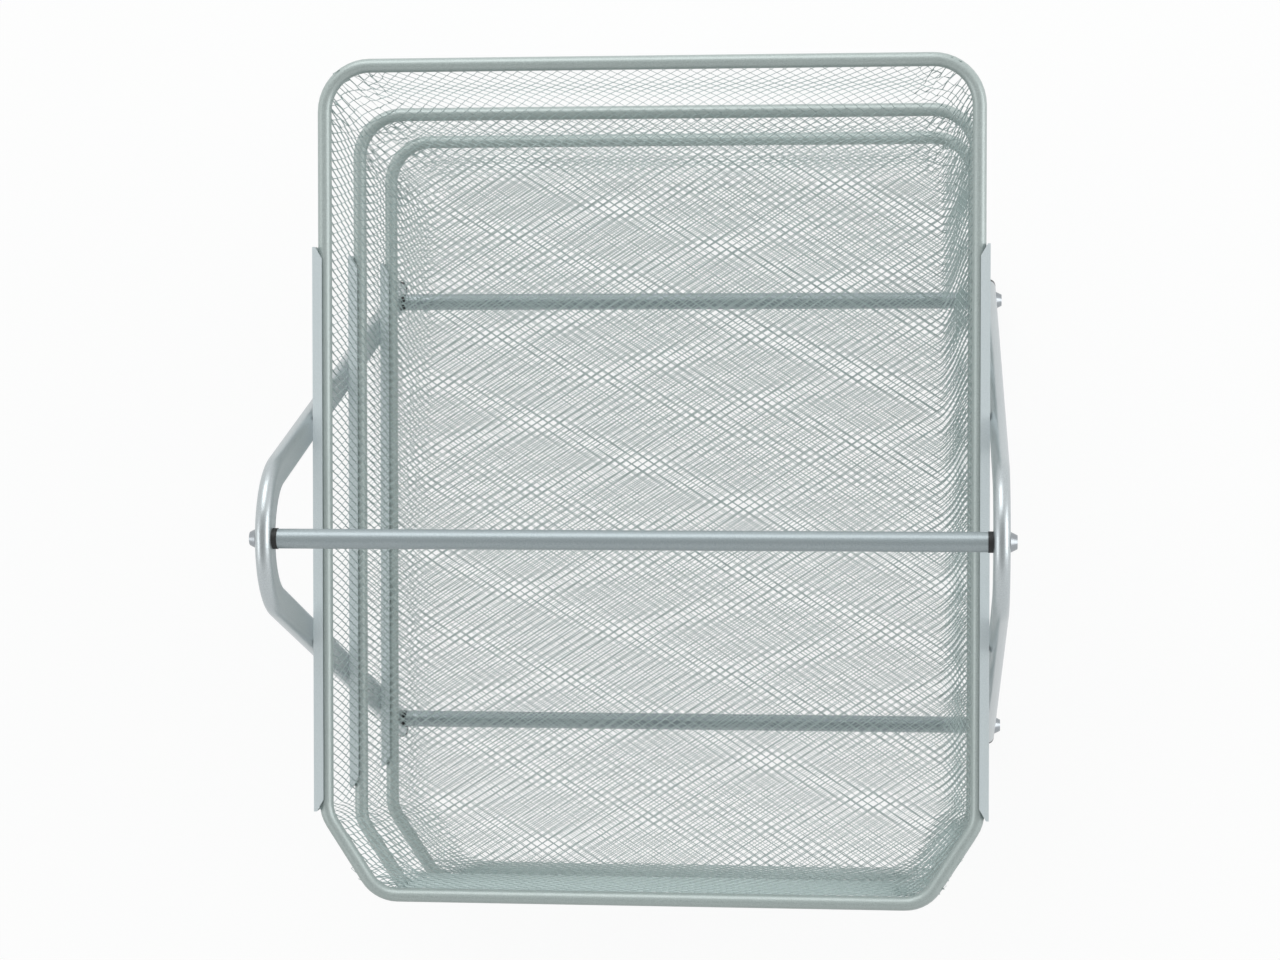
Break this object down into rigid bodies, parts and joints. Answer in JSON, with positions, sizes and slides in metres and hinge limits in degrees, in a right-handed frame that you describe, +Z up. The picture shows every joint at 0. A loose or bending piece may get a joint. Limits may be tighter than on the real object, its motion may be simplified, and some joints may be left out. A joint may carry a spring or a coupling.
{
  "type": "desktop letter tray",
  "caption": "Tiered desktop letter sorter: expanded-mesh trays with wire rims slide in channel rails between two bent tube side frames with a carrying bar.",
  "frame": {"origin": "on the desk, under the middle of the whole object's box with its trays where they stand", "axes": "+Z up, +X to the right side, -Y to the front, the way the trays pull out"},
  "size_m": [0.2748, 0.3412, 0.273],
  "materials": {
    "rim_wire": "silver powder coat, satin",
    "mesh": "silver powder coat over expanded sheet, satin",
    "rail": "silver powder coat, satin",
    "tube": "silver powder coat, satin",
    "bar": "silver powder coat, satin",
    "washer": "moulded, matt",
    "screw": "zinc plated",
    "foot": "moulded, matt"
  },
  "bodies": {
    "stand": {"bottom_left_rail": "rail", "bottom_right_rail": "rail", "middle_left_rail": "rail", "middle_right_rail": "rail", "top_left_rail": "rail", "top_right_rail": "rail", "left_side_frame": "tube", "front_left_foot": "foot", "rear_left_foot": "foot", "right_side_frame": "tube", "front_right_foot": "foot", "rear_right_foot": "foot", "handle_bar": "bar", "handle_bar_washers": "washer", "handle_bar_screws": "screw", "front_base_bar": "bar", "front_base_bar_washers": "washer", "front_base_bar_screws": "screw", "rear_base_bar": "bar", "rear_base_bar_washers": "washer", "rear_base_bar_screws": "screw"},
    "top_tray": {"top_tray_rim": "rim_wire", "top_tray_mesh": "mesh"},
    "middle_tray": {"middle_tray_rim": "rim_wire", "middle_tray_mesh": "mesh"},
    "bottom_tray": {"bottom_tray_rim": "rim_wire", "bottom_tray_mesh": "mesh"}
  },
  "joints": [
    {"name": "top_tray_slide", "type": "slide", "parent": "stand", "child": "top_tray", "axis": [0, -1, 0], "range_m": [-0.0015, 0.1685]},
    {"name": "middle_tray_slide", "type": "slide", "parent": "stand", "child": "middle_tray", "axis": [0, -1, 0], "range_m": [-0.0136, 0.1564]},
    {"name": "bottom_tray_slide", "type": "slide", "parent": "stand", "child": "bottom_tray", "axis": [0, -1, 0], "range_m": [-0.0187, 0.1513]}
  ]
}
